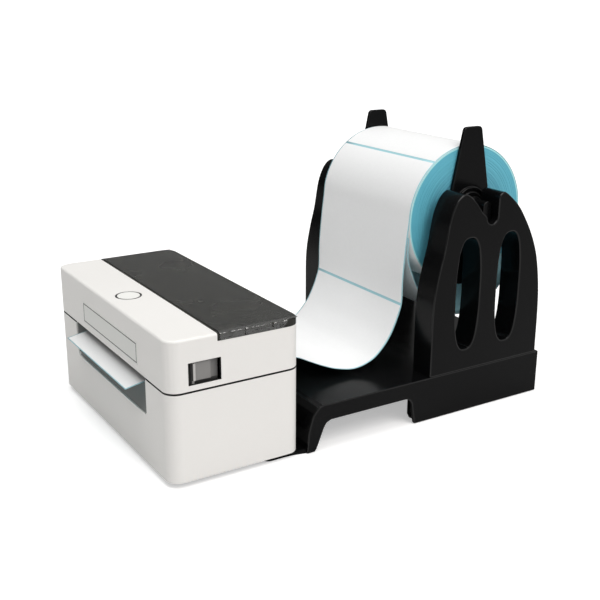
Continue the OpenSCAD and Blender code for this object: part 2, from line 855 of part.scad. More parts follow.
module head_pins() {
  color(steel) desk() both_sides() {
    rod_x(ear_x - 0.5, rib_x + rib_t - ear_x + 0.5, head_pivot_y, head_pivot_z, head_pin_r);
  }
}

// ---- latch ----

// The right lever: a flange inside the wall and the finger piece in the window
module latch_lever() {
  block(inner_half - 2.1, window_y - 1, lever_z, 1.8, 21, lever_h);
  block(inner_half - 0.4, window_y + 2.2, window_z + 1.8, 1.4, 12.8, window_h - 2.5);
  block(inner_half + 0.8, window_y + 3, window_z + 2.2, 1.3, 1.8, window_h - 3.3);
}

module latch_right() {
  color(latch_grey) desk() latch_lever();
}

module latch_left() {
  color(latch_grey) desk() mirror([1, 0, 0]) latch_lever();
}

module latch_bar() {
  w = inner_half - 2.1;
  color(steel) desk() block(-w, bar_y, bar_z, 2 * w, 3, 6);
}

module latch_hooks() {
  nose = strike_z - strike_r - clear;
  arm = strike_y + strike_r + 3.2;
  color(steel) desk() both_sides() along_x(hook_x, hook_t) polygon([[bar_y + 3, bar_z],
    [bar_y + 3, bar_z + 4], [arm + 4, bar_z + 4], [arm + 4, nose - 2.3], [arm, nose - 2.3],
    [arm - 2.8, nose - 1], [arm - 2.8, nose], [arm, nose], [arm, bar_z]]);
}

// ---- print head ----

module head_bracket() {
  color(steel) desk() difference() {
    union() {
      block(-ear_x - ear_t, 10, bracket_z, 2 * (ear_x + ear_t), head_pivot_y - 8, bracket_t);
      both_sides() along_x(ear_x, ear_t) polygon([[head_pivot_y - 10, bracket_z + 1],
        [head_pivot_y + 2, bracket_z + 1], [head_pivot_y + 3.5, head_pivot_z],
        [head_pivot_y + 2, head_pivot_z + 3.4], [head_pivot_y - 2, head_pivot_z + 3.4]]);
    }
    both_sides() rod_x(ear_x - 1, ear_t + 2, head_pivot_y, head_pivot_z, head_pin_r + fit);
  }
}

module print_head() {
  color(nylon) desk() along_x(-web_half - 2, 2 * web_half + 4) polygon([[platen_y - 8, head_z + 1.2],
    [platen_y - 4, head_z], [platen_y + 10, head_z], [platen_y + 10, bracket_z],
    [platen_y - 8, bracket_z]]);
}

module head_springs() {
  color(steel) desk() for (sx = [-1, 1]) {
    translate([sx * spring_x, spring_y, 0])
      coil(3.4, 0.35, 5, bracket_z + bracket_t + 0.1, spring_seat - 0.1);
  }
}

// ---- stand ----

module base_outline() {
  polygon(concat(
    [[stand_y, 0], [stand_y + 1.5, 15], [stand_y + 4.5, deck_h - 6],
     [stand_y + 9, deck_h - 0.9], [stand_y + 12, deck_h]],
    [[stand_end, deck_h], [stand_end, 0], [base_y, 0], [base_y - 2.5, bridge_z - 6.5]],
    [for (a = [0:15:90]) [base_y - 8.5 + 6 * cos(a), bridge_z - 6 + 6 * sin(a)]],
    [[stand_y + 18, bridge_z], [stand_y + 14.5, bridge_z - 1.5], [stand_y + 12.5, bridge_z - 5],
     [stand_y + 7.5, 2], [stand_y + 6, 0]]));
}

screw_y = [plate_mid - 32, plate_mid + 27];
pad_r = 6;
pad_t = 1.2;
pad_x = stand_w / 2 - base_wall - pad_r - 0.5;
pad_y = [base_y + pad_r + 3.5, stand_end - base_wall - pad_r - 0.5];

module stand_base() {
  inner_w = stand_w - 2 * base_wall;
  color(stand_black) desk() difference() {
    union() {
      difference() {
        along_x(stand_shift - stand_w / 2, stand_w) base_outline();
        block(stand_shift - inner_w / 2, stand_y + 20, -1,
              inner_w, stand_len - 20 - base_wall, deck_h - base_wall + 1);
      }
      for (sx = [-1, 1], y = pad_y) {
        rod_z(stand_shift + sx * pad_x, y, pad_t, deck_h - base_wall - pad_t + 1, pad_r + 0.8);
      }
    }
    for (x = [plate_left + plate_t / 2, plate_right + plate_t / 2], y = screw_y) {
      rod_z(x, y, deck_h - base_wall - 1, 10, 2 + fit);
    }
  }
}

module stand_feet() {
  color(rubber_black) desk() for (sx = [-1, 1], y = pad_y) {
    rod_z(stand_shift + sx * pad_x, y, 0, pad_t, pad_r);
  }
}

module stand_screws() {
  color(steel) desk() for (x = [plate_left + plate_t / 2, plate_right + plate_t / 2], y = screw_y) {
    rod_z(x, y, deck_h - base_wall - 2, 2, 3.6);
    rod_z(x, y, deck_h - base_wall - 2, 16, 2);
  }
}

// Points of an arc about (y0, z0) from angle a0 to a1
function arc(y0, z0, r, a0, a1) = [for (i = [0:8])
  let (a = a0 + (a1 - a0) * i / 8) [y0 + r * cos(a), z0 + r * sin(a)]];

// A point on the smooth curve through points, t from 0 to 1 between points i and i + 1
function curve_at(points, i, t) =
  let (last = len(points) - 1,
       a = points[max(i - 1, 0)], b = points[i],
       c = points[min(i + 1, last)], d = points[min(i + 2, last)])
  0.5 * (2 * b + (c - a) * t + (2 * a - 5 * b + 4 * c - d) * t * t
         + (3 * b - a - 3 * c + d) * t * t * t);

// The smooth curve through points, with steps pieces between two of them
function curve(points, steps) = [
  for (i = [0:len(points) - 2], k = [0:steps - 1]) curve_at(points, i, k / steps),
  points[len(points) - 1]];

// Points of a side plate's outline, k forward or back of its middle and h above the deck
function plate_points(list) = [for (p = list)
  [plate_mid + p[0] * plate_len / 97.2, deck_h + p[1] * (plate_top - deck_h) / 123]];

// The two humps with the notch for the spindle's tongue between them
module plate_outline() {
  wall = spindle_y + notch_r;
  polygon(concat(
    [[plate_mid - plate_len / 2, deck_h]],
    curve(plate_points([[-48.6, 25], [-48.6, 44], [-47.5, 58], [-44.6, 73], [-41.1, 87],
                        [-38.4, 103], [-36.2, 111], [-32.7, 118], [-28.8, 121.9],
                        [-25, 123], [-20.2, 120.5], [-14.4, 115], [-10.2, 109.4]]), 3),
    arc(spindle_y, notch_z, notch_r, 172, 360),
    arc(wall + 4.5, plate_top - 6.3, 4.5, 180, 108),
    curve(plate_points([[8.2, 121.3], [12.2, 119.2], [21.4, 111.3], [28.6, 101.8],
                        [36.4, 88.5], [42.6, 73], [46.6, 52.6], [48.2, 32], [48.6, 0]]), 3)));
}

// A long opening with full round ends, centred at (y, z)
module leaf(y, z, a, b) {
  polygon([for (t = [0:7.5:352.5])
    [y + a * sign(cos(t)) * pow(abs(cos(t)), 0.72),
     z + b * sign(sin(t)) * pow(abs(sin(t)), 0.72)]]);
}

leaf_mid = plate_mid - 1.1;
leaf_y = 17.9;
leaf_z = 85;
leaf_a = 10.2;
leaf_b = 39;

module side_plate(x) {
  difference() {
    along_x(x, plate_t) difference() {
      plate_outline();
      for (s = [-1, 1]) {
        leaf(leaf_mid + s * leaf_y, leaf_z, leaf_a, leaf_b);
      }
    }
    for (y = screw_y) {
      rod_z(x + plate_t / 2, y, deck_h - 1, 13, 2 + fit);
    }
  }
}

module side_plate_right() {
  color(stand_black) desk() side_plate(plate_right);
}

module side_plate_left() {
  color(stand_black) desk() side_plate(plate_left);
}

module tongue_outline() {
  for (s = [-1, 1]) {
    translate([spindle_y, spindle_z + s * tongue_rise]) circle(tongue_r);
  }
  translate([spindle_y - tongue_r, spindle_z - tongue_rise]) square([2 * tongue_r, 2 * tongue_rise]);
}

module spindle() {
  color(stand_black) desk() {
    rod_x(span_low, span_high - span_low, spindle_y, spindle_z, spindle_r);
    along_x(plate_left + 6, plate_t - 5.5) tongue_outline();
    along_x(plate_right - 0.5, plate_t - 5.5) tongue_outline();
  }
}

module blade_outline() {
  wide = 16.3;
  tip = 8;
  round_r = 3;
  polygon(concat(
    arc(spindle_y + tip - round_r, spindle_z + blade_len - round_r, round_r, 8, 90),
    arc(spindle_y - tip + round_r, spindle_z + blade_len - round_r, round_r, 90, 172),
    [[spindle_y - wide, spindle_z + 11], [spindle_y - wide, spindle_z - 11]],
    arc(spindle_y - tip + round_r, spindle_z - blade_len + round_r, round_r, 188, 270),
    arc(spindle_y + tip - round_r, spindle_z - blade_len + round_r, round_r, 270, 352),
    [[spindle_y + wide, spindle_z - 11], [spindle_y + wide, spindle_z + 11]]));
}

// A guide flange whose blade starts at x and whose hub points to side
module flange(x, side) {
  blade_x = side > 0 ? x : x - blade_t;
  hub_x = side > 0 ? x + blade_t : x - blade_t - hub_t;
  ring_x = side > 0 ? hub_x + hub_t - 0.8 : hub_x - 1.2;
  difference() {
    union() {
      along_x(blade_x, blade_t) blade_outline();
      rod_x(hub_x, hub_t, spindle_y, spindle_z, hub_r);
    }
    rod_x(blade_x - 10, 30, spindle_y, spindle_z, spindle_r + fit);
    difference() {
      rod_x(ring_x, 2, spindle_y, spindle_z, hub_r - 1.6);
      rod_x(ring_x - 1, 4, spindle_y, spindle_z, hub_r - 3.5);
    }
  }
}

module flange_right() {
  color(stand_black) desk() flange(roll_high + flange_gap, 1);
}

module flange_left() {
  color(stand_black) desk() flange(roll_low - flange_gap, -1);
}

module roll_core() {
  color(brown_card) desk() difference() {
    rod_x(roll_low, liner_w, spindle_y, roll_z, core_r + core_wall);
    rod_x(roll_low - 1, liner_w + 2, spindle_y, roll_z, core_r);
  }
}

module label_roll() {
  color(liner_blue) desk() difference() {
    rod_x(roll_low, liner_w, spindle_y, roll_z, roll_r);
    rod_x(roll_low - 1, liner_w + 2, spindle_y, roll_z, core_r + core_wall);
  }
}

// Sideways place of the web's middle: it follows the roll, then the printer
function web_shift(y) =
  let (t = min(max((y - printer_d) / (roll_front - printer_d), 0), 1))
  stand_shift * t * t * (3 - 2 * t);

module label_web() {
  line = curve(web_path, 3);
  count = len(line);
  ring = [for (i = [0:count - 1])
    let (a = line[max(i - 1, 0)], b = line[min(i + 1, count - 1)],
         n = [a[1] - b[1], b[0] - a[0]] / norm(b - a) * web_t / 2,
         p = line[i], x = web_shift(p[0]))
    each [[x - web_half, p[0] + n[0], p[1] + n[1]], [x + web_half, p[0] + n[0], p[1] + n[1]],
          [x + web_half, p[0] - n[0], p[1] - n[1]], [x - web_half, p[0] - n[0], p[1] - n[1]]]];
  walls = [for (i = [0:count - 2], k = [0:3])
    let (a = 4 * i + k, b = 4 * i + (k + 1) % 4) each [[a, b, b + 4], [a, b + 4, a + 4]]];
  ends = [[3, 2, 1, 0], [for (k = [0:3]) 4 * (count - 1) + k]];
  color(paper_white) desk() polyhedron(ring, concat(walls, ends));
}

lower_casing();
bottom_plate();
printer_feet();
bottom_screws();
exit_chute();
tear_bar();
side_frame_left();
side_frame_right();
platen_bushings();
strike_pins();
media_deck();
gap_sensor();
main_board();
board_parts();
usb_port();
dc_jack();
switch_housing();
stepper_motor();
motor_screws();
idler_stud();
hinge_pins();
platen_shaft();
platen_roller();
platen_gear();
idler_gear();
motor_shaft();
motor_pinion();
power_rocker();
paper_guide_left();
paper_guide_right();
guide_pinion();
upper_cover();
top_panel();
front_label();
button_ring();
button_board();
head_pins();
feed_button();
latch_left();
latch_right();
latch_bar();
latch_hooks();
head_bracket();
print_head();
head_springs();
stand_base();
side_plate_left();
side_plate_right();
stand_screws();
stand_feet();
spindle();
flange_left();
flange_right();
roll_core();
label_roll();
label_web();
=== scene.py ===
import json
import math
import random

import bmesh
import bpy
import numpy as np
from mathutils import Matrix, Vector, noise


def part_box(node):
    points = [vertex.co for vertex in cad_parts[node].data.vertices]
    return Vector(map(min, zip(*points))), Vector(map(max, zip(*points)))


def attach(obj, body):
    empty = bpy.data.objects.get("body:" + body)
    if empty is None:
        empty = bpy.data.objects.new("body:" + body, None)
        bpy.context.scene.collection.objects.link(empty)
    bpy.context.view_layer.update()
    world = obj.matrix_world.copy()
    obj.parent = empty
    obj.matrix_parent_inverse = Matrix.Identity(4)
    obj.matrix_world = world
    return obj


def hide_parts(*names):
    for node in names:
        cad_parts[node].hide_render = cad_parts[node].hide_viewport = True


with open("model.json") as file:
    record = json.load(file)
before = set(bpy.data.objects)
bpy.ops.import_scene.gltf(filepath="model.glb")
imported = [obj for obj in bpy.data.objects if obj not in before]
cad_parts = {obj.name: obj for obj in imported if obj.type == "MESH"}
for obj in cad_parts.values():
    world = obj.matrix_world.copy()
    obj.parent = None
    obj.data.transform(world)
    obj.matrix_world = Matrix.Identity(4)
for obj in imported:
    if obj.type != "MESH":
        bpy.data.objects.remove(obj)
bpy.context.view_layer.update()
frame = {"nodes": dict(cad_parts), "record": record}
NODES = frame["nodes"]
SLOT_OF = {row["node"]: row["material_slot"] for row in frame["record"]["subparts"]}
BODY_OF = {
    node: body
    for body, members in frame["record"]["behaviour"]["bodies"].items()
    for node in members
}
FRONT_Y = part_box("lower_casing")[0].y
scene = bpy.context.scene


def desk(x, y, z):
    """A point in millimetres from the middle of the printer's front face, on the ground."""
    return Vector((x / 1000, y / 1000 + FRONT_Y, z / 1000))


def in_desk(point):
    """The same millimetres of a point of the frame."""
    return (point - desk(0, 0, 0)) * 1000


# ---- camera and lamps ----

SENSOR_MM = 36
LENS_MM = 57.52
AZIMUTH = math.radians(58.04)
ELEVATION = math.radians(17.944)
ROLL = math.radians(0.288)
TARGET = desk(136.872, 60, 120.012)
DISTANCE = 0.516769


def place_camera():
    data = bpy.data.cameras.new("camera")
    data.sensor_width = SENSOR_MM
    data.lens = LENS_MM
    data.clip_start = 0.01
    data.clip_end = 200
    camera = bpy.data.objects.new("camera", data)
    scene.collection.objects.link(camera)
    scene.camera = camera
    back = Vector((
        math.sin(AZIMUTH) * math.cos(ELEVATION),
        -math.cos(AZIMUTH) * math.cos(ELEVATION),
        math.sin(ELEVATION),
    ))
    level_right = (-back).cross(Vector((0, 0, 1))).normalized()
    level_up = level_right.cross(-back)
    right = level_right * math.cos(ROLL) + level_up * math.sin(ROLL)
    up = level_up * math.cos(ROLL) - level_right * math.sin(ROLL)
    turn = Matrix((right, up, back)).transposed().to_4x4()
    camera.matrix_world = Matrix.Translation(TARGET + back * DISTANCE) @ turn


def area_light(name, place, aim, side, power, tone):
    """A square lamp that looks from its place to its aim."""
    data = bpy.data.lights.new(name, "AREA")
    data.shape = "RECTANGLE"
    data.size = side
    data.size_y = side
    data.energy = power
    data.color = tone
    light = bpy.data.objects.new(name, data)
    scene.collection.objects.link(light)
    direction = Vector(aim) - Vector(place)
    light.matrix_world = (
        Matrix.Translation(place) @ direction.to_track_quat("-Z", "Y").to_matrix().to_4x4()
    )


place_camera()
area_light("key_light", (1.3, 0.25, 1.6), (0, 0, 0.05), 1.1, 16, (1.0, 0.965, 0.945))
area_light("front_light", (0.0, -0.28, 1.0), (0, 0, 0), 0.7, 4.6, (0.985, 1.0, 0.995))


# ---- shader nodes ----

def plug(tree, socket, value):
    """Sets a socket to a value, or links another node's output to it."""
    if isinstance(value, bpy.types.NodeSocket):
        tree.links.new(value, socket)
    else:
        socket.default_value = value


def shader_node(tree, kind, **inputs):
    """A new node with its inputs set. Spaces in their names are written as underscores."""
    made = tree.nodes.new("ShaderNode" + kind)
    for key, value in inputs.items():
        plug(tree, made.inputs[key.replace("_", " ")], value)
    return made


def opaque(tone):
    """The tone with full alpha, if it is a bare triple."""
    return (*tone, 1) if isinstance(tone, tuple) and len(tone) == 3 else tone


def split_by_ray(tree, others, seen, output):
    """The camera's own rays meet the shader called seen, and all others meet the other one."""
    choose = shader_node(tree, "MixShader")
    plug(tree, choose.inputs[0], shader_node(tree, "LightPath").outputs["Is Camera Ray"])
    plug(tree, choose.inputs[1], others.outputs[0])
    plug(tree, choose.inputs[2], seen.outputs[0])
    plug(tree, shader_node(tree, output).inputs[0], choose.outputs[0])


def soft_room():
    """A soft room, lighter above and to the right, and a white one for the camera's own rays."""
    world = bpy.data.worlds.new("world")
    scene.world = world
    world.use_nodes = True
    tree = world.node_tree
    tree.nodes.clear()
    toward = shader_node(tree, "VectorMath")
    toward.operation = "DOT_PRODUCT"
    plug(tree, toward.inputs[0], shader_node(tree, "TexCoord").outputs["Generated"])
    plug(tree, toward.inputs[1], (0.5, 0.25, 0.5))
    level = shader_node(tree, "MapRange", Value=toward.outputs["Value"],
                        From_Min=-0.5, From_Max=0.8, To_Min=0.07, To_Max=0.8)
    fill = shader_node(tree, "Background", Color=(1.0, 0.995, 0.985, 1),
                       Strength=level.outputs["Result"])
    seen = shader_node(tree, "Background", Color=(1, 1, 1, 1), Strength=1)
    split_by_ray(tree, fill, seen, "OutputWorld")


soft_room()


# ---- materials ----

class Look:
    """A procedural material under construction. Lengths are in metres, in the frame's own space."""

    def __init__(self, name):
        self.material = bpy.data.materials.new(name)
        self.material.use_nodes = True
        self.tree = self.material.node_tree
        self.shader = self.tree.nodes["Principled BSDF"]
        self.space = self.node("TexCoord").outputs["Object"]

    def node(self, kind, **inputs):
        return shader_node(self.tree, kind, **inputs)

    def noise(self, scale, detail=3, rough=0.55, vector=None):
        made = self.node("TexNoise", Scale=scale, Detail=detail, Roughness=rough,
                         Vector=vector or self.space)
        return made.outputs["Fac"]

    def axes(self):
        split = self.node("SeparateXYZ", Vector=self.space)
        return (split.outputs[axis] for axis in "XYZ")

    def ramp(self, fac, *stops):
        made = self.node("ValToRGB", Fac=fac)
        for element, (place, tone) in zip(made.color_ramp.elements, stops):
            element.position = place
            element.color = opaque(tone)
        return made.outputs["Color"]

    def span(self, fac, low, high, from_low=0.0, from_high=1.0):
        """Low where fac is at or under from_low, and high where it is at or over from_high."""
        made = self.node("MapRange", Value=fac, From_Min=from_low, From_Max=from_high,
                         To_Min=low, To_Max=high)
        return made.outputs["Result"]

    def mix(self, fac, a, b):
        made = self.node("Mix")
        made.data_type = "RGBA"
        for number, value in ((0, fac), (6, opaque(a)), (7, opaque(b))):
            plug(self.tree, made.inputs[number], value)
        return made.outputs[2]

    def math(self, operation, a, b=0.0):
        made = self.node("Math")
        made.operation = operation
        plug(self.tree, made.inputs[0], a)
        plug(self.tree, made.inputs[1], b)
        return made.outputs[0]

    def stretch(self, x, y, z):
        return self.node("Mapping", Vector=self.space, Scale=(x, y, z)).outputs["Vector"]

    def bump(self, height, strength, distance, **after):
        made = self.node("Bump", Height=height, Strength=strength, Distance=distance, **after)
        return made.outputs["Normal"]

    def set(self, **inputs):
        for key, value in inputs.items():
            plug(self.tree, self.shader.inputs[key.replace("_", " ")], opaque(value))


def tint(tone, by):
    return tuple(min(1.0, c * by) for c in tone)


def moulded(name, tone, rough, level=0.5, grain=0.00004, spread=0.03, marks=0.04, wave=0.06):
    """Moulded plastic: faint cloudiness, a fine spark-eroded grain and a few handling marks."""
    look = Look(name)
    cloud = look.noise(14, 4)
    speck = look.noise(900, 2)
    colour = look.ramp(cloud, (0.3, tint(tone, 1 - spread)), (0.7, tint(tone, 1 + spread)))
    colour = look.mix(look.span(speck, 0, 0.35, 0.45, 0.75), colour, tint(tone, 1 - 2 * spread))
    smear = look.noise(38, 5, 0.65, look.stretch(1, 1.6, 0.7))
    waves = look.bump(look.noise(45, 2, 0.5), wave, 0.0002)
    look.set(Base_Color=colour, Roughness=look.span(smear, rough - marks, rough + marks, 0.3, 0.7),
             Normal=look.bump(look.noise(1800, 2, 0.6), 0.5, grain, Normal=waves),
             Specular_IOR_Level=level)
    return look.material


def stand_plastic(name, tone, rough, level):
    """The stand's black: a smoother moulding, with stronger clouds."""
    return moulded(name, tone, rough, level, grain=0.000012, spread=0.15, marks=0.05, wave=0.02)


def metal(name, tone, rough):
    """Plated sheet or turned steel: fine brushing along one axis, cloudy roughness, dull spots."""
    look = Look(name)
    lines = look.noise(60, 4, 0.7, look.stretch(1, 60, 60))
    cloud = look.noise(30, 4)
    spots = look.noise(220, 3)
    colour = look.ramp(cloud, (0.3, tint(tone, 0.88)), (0.75, tint(tone, 1.08)))
    colour = look.mix(look.span(spots, 0, 0.3, 0.6, 0.8), colour, tint(tone, 0.55))
    look.set(Base_Color=colour, Roughness=look.span(lines, rough - 0.08, rough + 0.12, 0.25, 0.75),
             Metallic=1.0, Normal=look.bump(lines, 0.25, 0.00005))
    return look.material


def rubbery(name, tone):
    """Rubber: dull and gritty, with dust on it."""
    look = Look(name)
    dust = look.noise(70, 5, 0.7)
    colour = look.ramp(dust, (0.35, tint(tone, 0.8)), (0.8, tint(tone, 2.2)))
    look.set(Base_Color=colour, Roughness=look.span(dust, 0.62, 0.85),
             Normal=look.bump(look.noise(1400, 3), 0.4, 0.00006))
    return look.material


def board_look(name):
    """Solder mask over copper tracks."""
    look = Look(name)
    cells = look.node("TexVoronoi", Scale=160.0, Vector=look.space)
    cells.feature = "DISTANCE_TO_EDGE"
    tracks = look.span(cells.outputs["Distance"], 1, 0, 0.03, 0.06)
    cloud = look.noise(20, 3)
    mask = look.ramp(cloud, (0.3, (0.012, 0.085, 0.045)), (0.7, (0.02, 0.125, 0.065)))
    look.set(Base_Color=look.mix(tracks, mask, (0.045, 0.21, 0.10)),
             Roughness=look.span(cloud, 0.25, 0.4), Normal=look.bump(tracks, 0.3, 0.00004))
    return look.material


def component_look(name):
    """Dark moulded cases of electronic parts, no two quite alike."""
    look = Look(name)
    cells = look.node("TexVoronoi", Scale=45.0, Vector=look.space)
    colour = look.ramp(cells.outputs["Distance"],
                       (0.2, (0.02, 0.02, 0.022)), (0.8, (0.06, 0.06, 0.065)))
    grit = look.noise(700, 3)
    look.set(Base_Color=colour, Roughness=look.span(grit, 0.4, 0.6),
             Normal=look.bump(grit, 0.3, 0.00004))
    return look.material


def card_look(name):
    """Wound cardboard: fibres along the tube, and blotches."""
    look = Look(name)
    fibre = look.noise(240, 5, 0.7, look.stretch(0.25, 1, 1))
    blotch = look.noise(40, 3)
    colour = look.ramp(fibre, (0.3, (0.30, 0.21, 0.12)), (0.7, (0.47, 0.35, 0.22)))
    colour = look.mix(look.span(blotch, 0, 0.3, 0.4, 0.7), colour, (0.25, 0.17, 0.10))
    look.set(Base_Color=colour, Roughness=look.span(fibre, 0.8, 0.95),
             Normal=look.bump(fibre, 0.5, 0.0001))
    return look.material


def paper_look(name, tone, rough=0.5, spread=0.02):
    """Coated label stock: very fine fibre mottling and a soft sheen."""
    look = Look(name)
    fibre = look.noise(520, 5, 0.7)
    cloud = look.noise(9, 3)
    colour = look.ramp(fibre, (0.3, tint(tone, 1 - spread)), (0.75, tint(tone, 1 + spread)))
    colour = look.mix(look.span(cloud, 0, 0.5, 0.35, 0.7), colour, tint(tone, 0.975))
    look.set(Base_Color=colour, Roughness=look.span(fibre, rough - 0.06, rough + 0.08),
             Normal=look.bump(fibre, 0.15, 0.00003))
    return look.material


def roll_look(name, centre, inner, outer):
    """The ends of the wound stock: liner edges in rings, darker by the core, and a pale last turn."""
    inner_blue = (0.110, 0.42, 0.54)
    outer_blue = (0.108, 0.455, 0.585)
    light_edge = (0.13, 0.50, 0.61)
    groove_blue = (0.03, 0.13, 0.27)
    cloud_blue = (0.12, 0.44, 0.55)
    last_turn = (0.40, 0.80, 0.84)
    look = Look(name)
    _, y, z = look.axes()
    dy = look.math("SUBTRACT", y, centre.y)
    dz = look.math("SUBTRACT", z, centre.z)
    radius = look.math("SQRT", look.math("ADD", look.math("MULTIPLY", dy, dy),
                                         look.math("MULTIPLY", dz, dz)))
    place = look.node("CombineXYZ", X=radius).outputs[0]
    fine = look.noise(2600, 2, 0.5, place)
    bands = look.noise(420, 3, 0.6, place)
    cloud = look.noise(22, 3)
    near_core = look.span(radius, 1, 0, inner, inner + 0.6 * (outer - inner))
    groove = look.math("MULTIPLY", near_core, look.span(bands, 0, 1.0, 0.46, 0.62))
    colour = look.mix(look.span(radius, 0, 1, inner, outer), inner_blue, outer_blue)
    colour = look.mix(look.span(fine, 0, 0.3, 0.45, 0.7), colour, light_edge)
    colour = look.mix(groove, colour, groove_blue)
    colour = look.mix(look.span(cloud, 0, 0.35, 0.5, 0.75), colour, cloud_blue)
    colour = look.mix(look.span(radius, 0, 1, outer - 0.0011, outer - 0.0009), colour, last_turn)
    look.set(Base_Color=colour, Roughness=look.span(fine, 0.5, 0.7),
             Normal=look.bump(fine, 0.4, 0.0001))
    return look.material


def panel_look(name, tone):
    """Gloss dark plastic, faintly clouded, with a few grains of dust under its film."""
    look = Look(name)
    haze = look.noise(26, 3, 0.5)
    dust = look.noise(330, 2, 0.4)
    colour = look.ramp(look.noise(9, 3), (0.3, tint(tone, 0.85)), (0.7, tint(tone, 1.15)))
    colour = look.mix(look.span(haze, 0, 0.5, 0.45, 0.8), colour, tint(tone, 1.5))
    colour = look.mix(look.span(dust, 0, 0.55, 0.77, 0.82), colour, (0.30, 0.30, 0.27))
    look.set(Base_Color=colour, Roughness=look.span(haze, 0.22, 0.30, 0.3, 0.7),
             Normal=look.bump(look.noise(22, 2), 0.02, 0.0002), Specular_IOR_Level=0.22)
    return look.material


def film_look(name, ior):
    """Thin clear film: it is seen by its gloss and its creases."""
    look = Look(name)
    smear = look.noise(60, 3, 0.5)
    look.set(Base_Color=look.ramp(smear, (0.3, (0.95, 0.955, 0.95)), (0.7, (0.98, 0.98, 0.975))),
             Roughness=look.span(smear, 0.05, 0.12),
             Normal=look.bump(look.noise(90, 2, 0.5), 0.02, 0.0001),
             Transmission_Weight=1.0, IOR=ior)
    return look.material


def latch_look(name, tone):
    """The latch: grey, with a painted highlight on its ridge, and painted shade where its plate lies
    deep in the window, towards the back of the window and below its sill.

    Its marks stand at distances in mm behind the printer's front face and above the ground.
    """
    plate_front = (16.02, 16.10)
    ridge_front = (16.2, 16.6)
    ridge_back = (17.8, 18.1)
    shade = (27.0, 32.5)
    sill = (65.60, 65.75)
    look = Look(name)
    _, y, z = look.axes()

    def behind(start, end, low=0.0, high=1.0):
        return look.span(y, low, high, FRONT_Y + start / 1000, FRONT_Y + end / 1000)

    cloud = look.noise(30, 4)
    speck = look.noise(900, 2)
    painted_shade = tint(tone, 0.12)
    colour = look.ramp(cloud, (0.3, tint(tone, 0.96)), (0.7, tint(tone, 1.04)))
    colour = look.mix(look.span(speck, 0, 0.35, 0.45, 0.75), colour, tint(tone, 0.93))
    # Painted shade: darker towards the back of the window, where the plate lies in front of the
    # ridge, and under the sill
    colour = look.mix(behind(*shade, 0.0, 0.7), colour, painted_shade)
    colour = look.mix(behind(*plate_front, 1.0, 0.0), colour, painted_shade)
    colour = look.mix(look.span(z, 1, 0, sill[0] / 1000, sill[1] / 1000), colour, painted_shade)
    # Painted highlight along the ridge
    painted_ridge_highlight = look.math("MULTIPLY", behind(*ridge_back, 1.0, 0.0), behind(*ridge_front))
    colour = look.mix(painted_ridge_highlight, colour, tint(tone, 2.1))
    look.set(Base_Color=colour, Roughness=look.span(cloud, 0.36, 0.46, 0.3, 0.7),
             Normal=look.bump(look.noise(1800, 2, 0.6), 0.5, 0.00004), Specular_IOR_Level=0.4)
    return look.material


ROLL_LOW, ROLL_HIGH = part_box("label_roll")
ROLL_CENTRE = (ROLL_LOW + ROLL_HIGH) / 2
ROLL_R = (ROLL_HIGH.z - ROLL_LOW.z) / 2
CORE_R = (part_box("roll_core")[1].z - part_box("roll_core")[0].z) / 2
LOOKS = {
    "shell_white": moulded("shell_white", (0.79, 0.778, 0.758), 0.42, 0.4, spread=0.012),
    "panel_dark": panel_look("panel_dark", (0.018, 0.018, 0.015)),
    "grey_plastic": moulded("grey_plastic", (0.20, 0.205, 0.20), 0.5, 0.4),
    "latch_grey": latch_look("latch_grey", (0.225, 0.22, 0.215)),
    "button_white": moulded("button_white", (0.82, 0.82, 0.79), 0.35, 0.4, spread=0.012),
    "ring_dark": moulded("ring_dark", (0.03, 0.03, 0.03), 0.3),
    "stand_black": stand_plastic("stand_black", (0.0030, 0.0031, 0.0034), 0.2, 0.1),
    "steel": metal("steel", (0.60, 0.61, 0.62), 0.32),
    "rubber": rubbery("rubber", (0.018, 0.018, 0.018)),
    "black_plastic": moulded("black_plastic", (0.015, 0.015, 0.016), 0.45, 0.4, spread=0.1),
    "nylon": moulded("nylon", (0.72, 0.69, 0.60), 0.45),
    "head_ceramic": moulded("head_ceramic", (0.62, 0.55, 0.42), 0.25),
    "board": board_look("board"),
    "components": component_look("components"),
    "label_blank": paper_look("label_blank", (0.74, 0.745, 0.72)),
    "label_paper": paper_look("label_paper", (0.875, 0.88, 0.885), 0.42),
    "liner_blue": roll_look("liner_blue", ROLL_CENTRE, CORE_R, ROLL_R),
    "card": card_look("card"),
}
LINER = paper_look("liner", (0.34, 0.60, 0.66), 0.4, 0.04)
# Ink: print for the sticker's frame lines, and also painted shade on the parting rims and the latch
# windows' walls
INK_AND_PAINTED_SHADE = moulded("ink_and_painted_shade", (0.012, 0.012, 0.012), 0.5)
# Rounded edges of the stand: glossier than the rest, and a little lighter in colour, which is a
# painted highlight along the edges
STAND_EDGE_HIGHLIGHT = stand_plastic("stand_edge_highlight", (0.005, 0.0052, 0.0055), 0.16, 0.32)
FILM_FOLD = film_look("film_fold", 1.6)
FILM = film_look("film", 1.12)


def dress(obj, material):
    """The material on every slot of the object, and on a new one where it has none."""
    if not obj.data.materials:
        obj.data.materials.append(material)
    for place in obj.material_slots:
        place.material = material


for node_name, node_object in NODES.items():
    dress(node_object, LOOKS[SLOT_OF[node_name]])


# ---- pieces ----

def mesh_object(name, verts, faces, material=None, smooth=False):
    mesh = bpy.data.meshes.new(name)
    mesh.from_pydata([tuple(v) for v in verts], [], faces)
    mesh.validate()
    made = bpy.data.objects.new(name, mesh)
    scene.collection.objects.link(made)
    work = bmesh.new()
    work.from_mesh(mesh)
    bmesh.ops.recalc_face_normals(work, faces=work.faces)
    work.to_mesh(mesh)
    work.free()
    if smooth:
        mesh.shade_smooth()
    if material:
        mesh.materials.append(material)
    return made


def settle(piece, body, slot_name, *nodes):
    """Lets the piece ride on a body in place of the nodes that it stands for, which it hides.
    slot_name is not used.
    """
    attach(piece, body)
    if nodes:
        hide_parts(*nodes)
    return piece


WELD_MM = 0.002
FLAT_ANGLE = math.radians(0.4)


